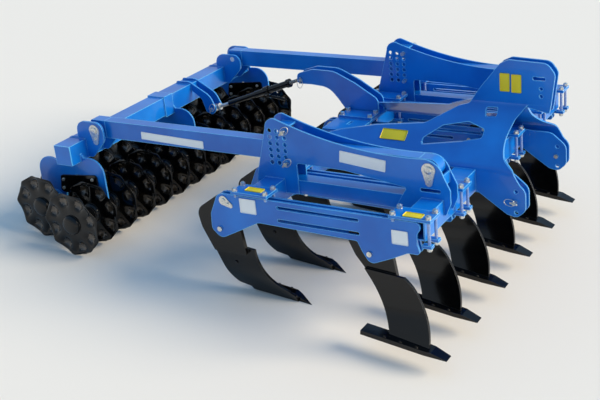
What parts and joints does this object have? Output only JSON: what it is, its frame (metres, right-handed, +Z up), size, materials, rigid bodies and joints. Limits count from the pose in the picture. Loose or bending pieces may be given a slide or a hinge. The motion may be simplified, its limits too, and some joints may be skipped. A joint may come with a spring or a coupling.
{
  "type": "mounted subsoiler with disc roller",
  "caption": "Mounted subsoiler: bent tines on side plates clamped to cross beams, a three-point headstock, and a tandem wavy-disc roller on swinging arms with a screw adjuster.",
  "frame": {"origin": "on the floor, under the middle of the parked machine's bounding box", "axes": "+X towards the tractor, +Y to the machine's left, +Z up"},
  "size_m": [3.7512, 2.917, 1.625],
  "materials": {
    "blue": "gloss blue paint",
    "black": "gloss black paint",
    "zinc": "zinc plated",
    "screw": "oiled steel"
  },
  "bodies": {
    "main_frame": {"front_beam": "blue", "rear_beam": "blue", "holder_1": "blue", "front_tine_1": "black", "rear_tine_1": "black", "holder_2": "blue", "front_tine_2": "black", "rear_tine_2": "black", "holder_3": "blue", "front_tine_3": "black", "rear_tine_3": "black", "holder_4": "blue", "front_tine_4": "black", "rear_tine_4": "black", "holder_5": "blue", "front_tine_5": "black", "rear_tine_5": "black", "holder_6": "blue", "front_tine_6": "black", "rear_tine_6": "black", "front_points": "black", "rear_points": "black", "front_clamps": "blue", "rear_clamps": "blue", "tine_pivots": "zinc", "shear_bolts": "zinc", "arm_carrier_right": "blue", "arm_carrier_left": "blue", "side_rails": "blue", "arm_pins": "zinc", "depth_pins": "zinc", "headstock_right": "blue", "headstock_left": "blue", "link_plates": "blue", "link_pins": "zinc", "bracket_base": "blue", "adjuster_bracket": "blue", "adjuster_pin": "zinc"},
    "roller_arms": {"arm_right": "blue", "arm_left": "blue", "arm_eyes": "blue"},
    "roller_frame": {"roller_beam": "blue", "roller_caps": "blue", "pivot_lugs": "blue", "hangers": "blue", "roller_end_plates": "black", "roller_bracket": "blue", "rear_pins": "zinc"},
    "front_roller_body": {"front_roller": "black"},
    "rear_roller_body": {"rear_roller": "black"},
    "adjuster_barrel": {"adjuster_tube": "black", "adjuster_handle": "black"},
    "adjuster_screw": {"adjuster_rod": "screw"}
  },
  "joints": [
    {"name": "roller_arm_swing", "type": "hinge", "parent": "main_frame", "child": "roller_arms", "pos_m": [1.39842, -0.0205, 1.15459], "axis": [0, 1, 0], "range_deg": [0, 3.3]},
    {"name": "roller_frame_tilt", "type": "hinge", "parent": "roller_arms", "child": "roller_frame", "pos_m": [-1.26043, -0.0205, 0.86105], "axis": [0, 1, 0], "range_deg": [-4, 4]},
    {"name": "front_roller_spin", "type": "hinge", "parent": "roller_frame", "child": "front_roller_body", "pos_m": [-1.23321, -0.0205, 0.25], "axis": [0, 1, 0], "continuous": true},
    {"name": "rear_roller_spin", "type": "hinge", "parent": "roller_frame", "child": "rear_roller_body", "pos_m": [-1.62558, -0.0205, 0.25], "axis": [0, 1, 0], "continuous": true},
    {"name": "adjuster_turn", "type": "hinge", "parent": "main_frame", "child": "adjuster_barrel", "pos_m": [-0.27903, 0.3595, 1.01165], "axis": [0, 1, 0], "range_deg": [0, 8.68]},
    {"name": "adjuster_slide", "type": "slide", "parent": "adjuster_barrel", "child": "adjuster_screw", "axis": [-0.8965, 0, -0.4431], "range_m": [-0.025, 0.025]}
  ],
  "couplings": [
    {"joint": "adjuster_turn", "follows": "roller_arm_swing", "ratio": 2.6147},
    {"joint": "adjuster_slide", "follows": "roller_frame_tilt", "m_per_rad": 0.29987}
  ]
}
